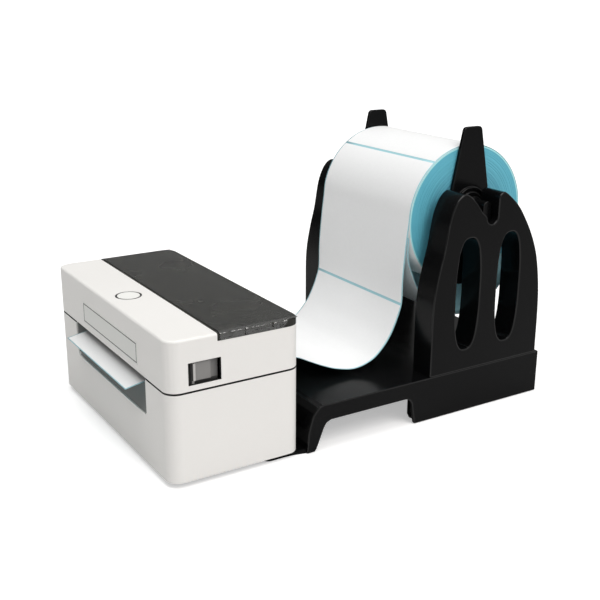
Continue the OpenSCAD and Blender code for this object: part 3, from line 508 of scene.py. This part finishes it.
def softened(node_name, width, angle=28, rim=None):
    """A copy of a CAD node with its sharp edges rounded, which stands for the node.

    The edges over the angle in degrees are rounded over the width in mm. rim is the material of
    the rounded edges, where it isn't the same as the rest.
    """
    own_look = LOOKS[SLOT_OF[node_name]]
    mesh = NODES[node_name].data.copy()
    mesh.transform(Matrix.Scale(1000, 4))
    work = bmesh.new()
    work.from_mesh(mesh)
    bmesh.ops.remove_doubles(work, verts=work.verts, dist=WELD_MM)
    bmesh.ops.dissolve_limit(work, angle_limit=FLAT_ANGLE, verts=work.verts, edges=work.edges)
    work.to_mesh(mesh)
    work.free()
    if "custom_normal" in mesh.attributes:
        mesh.attributes.remove(mesh.attributes["custom_normal"])
    mesh.shade_smooth()
    made = bpy.data.objects.new(node_name + "_form", mesh)
    scene.collection.objects.link(made)
    edge = made.modifiers.new("edge", "BEVEL")
    edge.width = width
    edge.segments = 2
    edge.limit_method = "ANGLE"
    edge.angle_limit = math.radians(angle)
    edge.use_clamp_overlap = False
    edge.miter_outer = "MITER_ARC"
    if rim:
        mesh.materials.clear()
        mesh.materials.append(own_look)
        mesh.materials.append(rim)
        edge.material = 1
    normals = made.modifiers.new("normals", "WEIGHTED_NORMAL")
    normals.keep_sharp = True
    normals.weight = 60
    shape = bpy.data.meshes.new_from_object(
        made.evaluated_get(bpy.context.evaluated_depsgraph_get()))
    made.modifiers.clear()
    made.data = shape
    shape.transform(Matrix.Scale(0.001, 4))
    if not rim:
        dress(made, own_look)
    return settle(made, BODY_OF[node_name], SLOT_OF[node_name], node_name)


for node_name, width in (
    ("latch_left", 0.25), ("latch_right", 0.25), ("feed_button", 0.3), ("button_ring", 0.12),
    ("exit_chute", 0.3), ("printer_feet", 0.5), ("power_rocker", 0.3),
):
    softened(node_name, width)
for node_name, width in (
    ("stand_base", 0.8), ("side_plate_left", 0.9), ("side_plate_right", 0.9),
    ("flange_left", 0.4), ("flange_right", 0.4), ("spindle", 0.4),
):
    softened(node_name, width, rim=STAND_EDGE_HIGHLIGHT)
softened("top_panel", 0.25, angle=50)
casing = softened("lower_casing", 0.22, angle=50)
cover = softened("upper_cover", 0.22, angle=50)

PANEL_LOW, PANEL_HIGH = (in_desk(corner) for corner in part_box("top_panel"))
HALF_WIDTH = PANEL_HIGH.x

# Painted shade: the rims that meet at the parting line, and the walls of the latch windows, get the
# dark ink so that they read as shadow lines
SPLIT_Z = 60
SPLIT_REACH = 0.75
WALL_X = (HALF_WIDTH - 2.7, HALF_WIDTH - 0.25)
WINDOW_Y = (12.6, 34.4)
WINDOW_Z = (63.4, 78.2)


def darken(piece, wanted):
    """Gives the dark material, as painted shade, to the faces whose middle and normal (in desk terms)
    are wanted.
    """
    piece.data.materials.append(INK_AND_PAINTED_SHADE)
    for face in piece.data.polygons:
        if wanted(in_desk(face.center), face.normal):
            face.material_index = len(piece.data.materials) - 1


def by_the_split(p, n):
    return abs(p.z - SPLIT_Z) < SPLIT_REACH and abs(n.z) > 0.3


def window_wall(p, n):
    return (abs(n.x) < 0.5 and WALL_X[0] < abs(p.x) < WALL_X[1]
            and WINDOW_Y[0] < p.y < WINDOW_Y[1] and WINDOW_Z[0] < p.z < WINDOW_Z[1])


darken(casing, by_the_split)
darken(cover, lambda p, n: by_the_split(p, n) or window_wall(p, n))

TOE_ROOT = 97
TOE_TIP = 65
TOE_TURN = 4
TOE_HEIGHT = 2.6


def toe(name, x0, x1, flare):
    """A flat toe of the stand that reaches under the printer, between x0 and x1.

    By its root it widens on the right, by the flare.
    """
    plan = [(x0, TOE_ROOT)]
    for middle, start in ((x0 + TOE_TURN, 180), (x1 - TOE_TURN, 270)):
        for step in range(0, 91, 15):
            a = math.radians(start + step)
            plan.append((middle + TOE_TURN * math.cos(a), TOE_TIP + TOE_TURN * (1 + math.sin(a))))
    plan += [(x1, TOE_ROOT - 18), (x1 + 0.2 * flare, TOE_ROOT - 11), (x1 + flare, TOE_ROOT)]
    count = len(plan)
    verts = [desk(x, y, z) for z in (0, TOE_HEIGHT) for x, y in plan]
    faces = [tuple(range(count))[::-1], tuple(range(count, 2 * count))]
    faces += [(k, (k + 1) % count, count + (k + 1) % count, count + k) for k in range(count)]
    made = mesh_object(name, verts, faces, LOOKS["stand_black"])
    work = bmesh.new()
    work.from_mesh(made.data)
    high = 0.9 * TOE_HEIGHT / 1000
    top_edges = [e for e in work.edges if min(v.co.z for v in e.verts) > high]
    bmesh.ops.bevel(work, geom=top_edges, offset=0.0005, segments=2, affect="EDGES")
    work.to_mesh(made.data)
    work.free()
    settle(made, "base", "stand_black")


toe("stand_toe_right", 76, 89.5, 3)
toe("stand_toe_left", -60.5, -47, 0)

# The web: a liner with labels on it, along the same line as the CAD solid. It starts as the
# loose outer turn under the roll, goes round the roll's back and top, and down to the printer.
ROLL_MIDDLE = in_desk(ROLL_CENTRE)
ROLL_REACH = ROLL_R * 1000
LINER_HALF = (ROLL_HIGH.x - ROLL_LOW.x) * 1000 / 2
LINER_THICK = 0.12
LABEL_HALF = 50.9
LABEL_THICK = 0.13
LABEL_GAP = 1.9
LABEL_PITCH = 101.2
FIRST_GAP = 30.6
END_MARGIN = 0.6
WEB_STEP = 1.5
# Points (y, z) of the web in mm: LOOP's count from the roll's middle, and HANG's from the desk's zero
LOOP = [
    (-48.7, -9.8), (-48.6, -23.8), (-45.1, -34.3), (-38.1, -48.3), (-25.5, -62.3), (-12.5, -69),
    (-0.5, -71.2), (12.5, -69.8), (24.5, -64.6), (34.5, -57.3), (43.5, -43.8), (48.5, -26.8),
    (49.7, -9.8),
]
HANG = [
    (187.3, 116.8), (185.7, 96.8), (185.5, 80), (184.5, 73.7), (180.6, 62.9), (175.2, 52.3),
    (166.7, 42.1), (159.1, 37.5), (152.6, 35.5), (148.6, 35.2), (144.2, 35.6), (135.9, 37.4),
    (127.5, 40.6), (119.1, 44.5), (110.7, 48.5), (94, 54), (84.5, 55.1), (60, 55.1), (30, 55.1),
    (12, 55.1), (5, 54.6), (-3, 53.3), (-9.5, 52),
]


def web_points():
    """The loose turn, the round over the roll and the part that hangs down, as (y, z)."""
    loose = [(ROLL_MIDDLE.y + y, ROLL_MIDDLE.z + z) for y, z in LOOP]
    reach = ROLL_REACH + 0.5
    angles = [math.radians(a) for a in range(0, 181, 15)]
    over = [(ROLL_MIDDLE.y + reach * math.cos(a), ROLL_MIDDLE.z + reach * math.sin(a))
            for a in angles]
    return np.array(loose + over + HANG, float)


def web_line():
    """Points (y, z) of a smooth line through web_points, and the length run up to each."""
    points = web_points()
    last = len(points) - 1
    line = []
    for i in range(last):
        a, b = points[max(i - 1, 0)], points[i]
        c, d = points[i + 1], points[min(i + 2, last)]
        count = max(2, int(np.linalg.norm(c - b) / WEB_STEP))
        for k in range(count):
            t = k / count
            line.append(0.5 * (2 * b + (c - a) * t + (2 * a - 5 * b + 4 * c - d) * t * t
                               + (3 * b - a - 3 * c + d) * t ** 3))
    line.append(points[last])
    line = np.array(line)
    run = np.concatenate([[0], np.cumsum(np.linalg.norm(np.diff(line, axis=0), axis=1))])
    return line, run


WEB_LINE, WEB_RUN = web_line()
WEB_END = float(WEB_RUN[-1])
ROLL_TOP_RUN = float(WEB_RUN[int(np.argmax(WEB_LINE[:, 1]))])


def web_shift(y):
    """How far the web's middle stands to the side at y: none in the printer, all by the roll."""
    way = ROLL_MIDDLE.y - ROLL_REACH - PANEL_HIGH.y
    t = min(max((y - PANEL_HIGH.y) / way, 0), 1)
    return ROLL_MIDDLE.x * t * t * (3 - 2 * t)


def web_place(s):
    """The web's middle (y, z) at run s."""
    return [float(np.interp(s, WEB_RUN, WEB_LINE[:, axis])) for axis in (0, 1)]


def web_frame(s):
    """The web's middle (y, z) at run s, and the direction (y, z) out of its labelled side."""
    (y1, z1), (y2, z2) = web_place(max(s - 1.0, 0)), web_place(min(s + 1.0, WEB_END))
    size = math.hypot(y2 - y1, z2 - z1)
    return *web_place(s), (z2 - z1) / size, (y1 - y2) / size


def sheet_faces(rows, wide):
    """Faces of a closed sheet whose points are a grid of rows by wide, and then the same below."""
    off = rows * wide
    faces = []
    for i in range(rows - 1):
        for k in range(wide - 1):
            a = i * wide + k
            faces.append((a, a + 1, a + wide + 1, a + wide))
            faces.append((off + a, off + a + wide, off + a + wide + 1, off + a + 1))
    rim = (list(range(wide))
           + [i * wide + wide - 1 for i in range(1, rows)]
           + [(rows - 1) * wide + k for k in range(wide - 2, -1, -1)]
           + [i * wide for i in range(rows - 2, 0, -1)])
    for a, b in zip(rim, rim[1:] + rim[:1]):
        faces.append((a, b, off + b, off + a))
    return faces


def web_strip(name, start, end, half, low, high, material):
    """A closed strip of the web from run start to end, between two offsets from its middle."""
    count = max(2, int((end - start) / WEB_STEP))
    columns = 9
    top, bottom = [], []
    for i in range(count + 1):
        y, z, out_y, out_z = web_frame(start + (end - start) * i / count)
        for k in range(columns):
            x = web_shift(y) + half * (2 * k / (columns - 1) - 1)
            top.append(desk(x, y + out_y * high, z + out_z * high))
            bottom.append(desk(x, y + out_y * low, z + out_z * low))
    return mesh_object(name, top + bottom, sheet_faces(count + 1, columns), material)


def lay_web():
    liner = web_strip("web_liner", 0, WEB_END, LINER_HALF, -LINER_THICK, 0.0, LINER)
    for face in liner.data.polygons:
        face.use_smooth = abs(face.normal.x) < 0.5
    settle(liner, "base", "label_paper", "label_web")
    first = ROLL_TOP_RUN + FIRST_GAP
    gaps = [first + k * LABEL_PITCH for k in range(-4, 6)]
    gaps = [gap for gap in gaps if 4 < gap < WEB_END - 4]
    starts = [END_MARGIN] + [gap + LABEL_GAP for gap in gaps]
    ends = gaps + [WEB_END - END_MARGIN]
    for number, (start, end) in enumerate(zip(starts, ends), 1):
        label = web_strip(f"web_label_{number}", start, end, LABEL_HALF, 0.0, LABEL_THICK,
                          LOOKS["label_paper"])
        settle(label, "base", "label_paper")


lay_web()

# The roll: every turn stands a little differently at the ends
TURNS = 62
STAND_OUT = 0.00022
ROLL_SIDES = 160


def lathe_x(name, profile, centre, material):
    """A closed ring turned about the X axis through centre. profile holds (x, radius) in metres."""
    count = len(profile)
    verts = []
    faces = []
    for i in range(ROLL_SIDES):
        a = 2 * math.pi * i / ROLL_SIDES
        j = (i + 1) % ROLL_SIDES
        for k, (x, r) in enumerate(profile):
            m = (k + 1) % count
            verts.append((x, centre.y + r * math.cos(a), centre.z + r * math.sin(a)))
            faces.append((i * count + k, i * count + m, j * count + m, j * count + k))
    return mesh_object(name, verts, faces, material, smooth=True)


def wind_roll():
    draw = random.Random(11)
    first_r = CORE_R + 0.00003
    last_r = ROLL_R - 0.00003
    right_side, left_side = [], []
    for k in range(TURNS + 1):
        r = first_r + (last_r - first_r) * k / TURNS
        right_side.append((ROLL_HIGH.x - draw.uniform(0.0, STAND_OUT), r))
        left_side.append((ROLL_LOW.x + draw.uniform(0.0, STAND_OUT), r))
    wound = lathe_x("wound_labels", left_side + right_side[::-1], ROLL_CENTRE,
                    LOOKS["liner_blue"])
    wound.data.materials.append(LOOKS["label_paper"])
    for face in wound.data.polygons:
        reach = math.hypot(face.center.y - ROLL_CENTRE.y, face.center.z - ROLL_CENTRE.z)
        outside = reach > ROLL_R - 0.0002
        face.use_smooth = outside
        if outside and abs(face.normal.x) < 0.5:
            face.material_index = 1
    settle(wound, "roll", "liner_blue", "label_roll")


wind_roll()

# The blank sticker's thin printed frame
LINE = 0.6
LINE_INSET = 0.9
LINE_Y = (-0.28, -0.2)


def slab(name, low, high, material):
    (x0, y0, z0), (x1, y1, z1) = low, high
    verts = [desk(x, y, z) for z in (z0, z1) for x, y in ((x0, y0), (x1, y0), (x1, y1), (x0, y1))]
    faces = [(3, 2, 1, 0), (4, 5, 6, 7)]
    faces += [(k, (k + 1) % 4, 4 + (k + 1) % 4, 4 + k) for k in range(4)]
    return mesh_object(name, verts, faces, material)


def frame_sticker():
    low, high = (in_desk(corner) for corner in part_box("front_label"))
    x0, x1 = low.x + LINE_INSET, high.x - LINE_INSET
    z0, z1 = low.z + LINE_INSET, high.z - LINE_INSET
    for name, xa, xb, za, zb in (
        ("sticker_line_left", x0, x0 + LINE, z0, z1),
        ("sticker_line_right", x1 - LINE, x1, z0, z1),
        ("sticker_line_low", x0, x1, z0, z0 + LINE),
        ("sticker_line_high", x0, x1, z1 - LINE, z1),
    ):
        line = slab(name, (xa, LINE_Y[0], za), (xb, LINE_Y[1], zb), INK_AND_PAINTED_SHADE)
        settle(line, "cover", "label_blank")


frame_sticker()

# The clear film on the dark panel: it laps over the right edge, where it is creased
FILM_LEFT = PANEL_LOW.x + 1.8
FILM_FINE = 74
FILM_RIGHT = PANEL_HIGH.x - 1.7
FILM_FRONT = PANEL_LOW.y + 1.05
FILM_BACK = PANEL_HIGH.y - 2.1
FILM_REST = 0.05
FILM_THICK = 0.03
LAP = 4.1
LAP_TURN = 1.5
LAP_BACK = 80.5
LAP_LIMIT = HALF_WIDTH + 0.6
EDGE_FOLDS = 79
FRONT_LEFT_LIFT = (-84, 37)
FRONT_RIGHT_CRUMPLE = (87, 36)


def nearness(x, y, middle, reach, squeeze=1.0):
    """1 at the middle, falling to 0 at the reach. squeeze makes the y distances count less."""
    return max(0.0, 1 - math.hypot(x - middle[0], squeeze * (y - middle[1])) / reach)


def film_height(x, y):
    """Lift of the film off the panel in mm."""
    edge = max(0.0, (x - EDGE_FOLDS) / 12.5) ** 1.6
    corner = nearness(x, y, FRONT_LEFT_LIFT, 15)
    crumple = nearness(x, y, FRONT_RIGHT_CRUMPLE, 8, 0.6)
    crease = abs(noise.noise(Vector((x * 0.12, y * 0.2, 3.1)))) ** 0.8
    small = abs(noise.noise(Vector((x * 0.5, y * 0.5, 7.7))))
    return FILM_REST + edge * (0.5 * crease + 0.25 * small) + (0.4 * corner + 0.9 * crumple) * small


def film_row(y):
    """Points (x, z) across the film at y and down its lap, each with its direction out (x, z)."""
    xs = [*np.linspace(FILM_LEFT, FILM_FINE, 84), *np.linspace(FILM_FINE + 0.8, FILM_RIGHT, 40)]
    top = PANEL_HIGH.z
    row = [(x, top + film_height(x, y), 0, 1) for x in xs]
    lap = LAP * min(1.0, max(0.0, (LAP_BACK - y) / 5.0))
    bend = min(1.0, 0.25 + lap / LAP)
    r = LAP_TURN + film_height(FILM_RIGHT, y)
    for k in range(1, 6):
        a = math.radians(18 * k) * bend
        row.append((FILM_RIGHT + 0.15 + 0.98 * r * math.sin(a), top - LAP_TURN + r * math.cos(a),
                    math.sin(a), math.cos(a)))
    x_end, z_end = row[-1][:2]
    for k in range(1, 7):
        wave = 0.18 * noise.noise(Vector((k * 0.7, y * 0.33, 5.0)))
        row.append((min(x_end + wave, LAP_LIMIT), z_end - 0.7 * lap * k / 6, 1, 0))
    return row


def lay_film():
    upper, lower = [], []
    ys = np.linspace(FILM_FRONT, FILM_BACK, 76)
    for y in ys:
        for x, z, out_x, out_z in film_row(y):
            upper.append(desk(x, y, z))
            lower.append(desk(x - FILM_THICK * out_x, y, z - FILM_THICK * out_z))
    faces = sheet_faces(len(ys), len(upper) // len(ys))
    film = mesh_object("protective_film", upper + lower, faces, FILM, smooth=True)
    film.data.materials.append(FILM_FOLD)
    for face in film.data.polygons:
        x = in_desk(face.center).x
        level = abs(face.normal.z)
        if x > 90.2 and level > 0.2 or x > 84 and level < 0.93:
            face.material_index = 1
    settle(film, "cover", "panel_dark")


lay_film()

# ---- floor ----

FLOOR = 40.0


def floor_look():
    """For the camera's own rays it is lit and glows, more so farther out. For others it is plain."""
    material = bpy.data.materials.new("floor")
    material.use_nodes = True
    tree = material.node_tree
    tree.nodes.clear()
    lit = shader_node(tree, "BsdfDiffuse", Color=(0.82, 0.82, 0.82, 1))
    bounce = shader_node(tree, "BsdfDiffuse", Color=(0.74, 0.74, 0.74, 1))
    away = shader_node(tree, "VectorMath")
    away.operation = "LENGTH"
    plug(tree, away.inputs[0], shader_node(tree, "TexCoord").outputs["Object"])
    more = shader_node(tree, "MapRange", Value=away.outputs["Value"],
                       From_Min=0.35, From_Max=1.6, To_Min=0.42, To_Max=0.8)
    glow = shader_node(tree, "Emission", Color=(1, 1, 1, 1), Strength=more.outputs["Result"])
    both = shader_node(tree, "AddShader")
    plug(tree, both.inputs[0], lit.outputs[0])
    plug(tree, both.inputs[1], glow.outputs[0])
    split_by_ray(tree, bounce, both, "OutputMaterial")
    return material


floor = mesh_object("floor", [(-FLOOR, -FLOOR, 0), (FLOOR, -FLOOR, 0), (FLOOR, FLOOR, 0),
                              (-FLOOR, FLOOR, 0)], [(0, 1, 2, 3)])
floor.location.z = -0.0002
floor.data.materials.append(floor_look())

scene.view_settings.view_transform = "Standard"
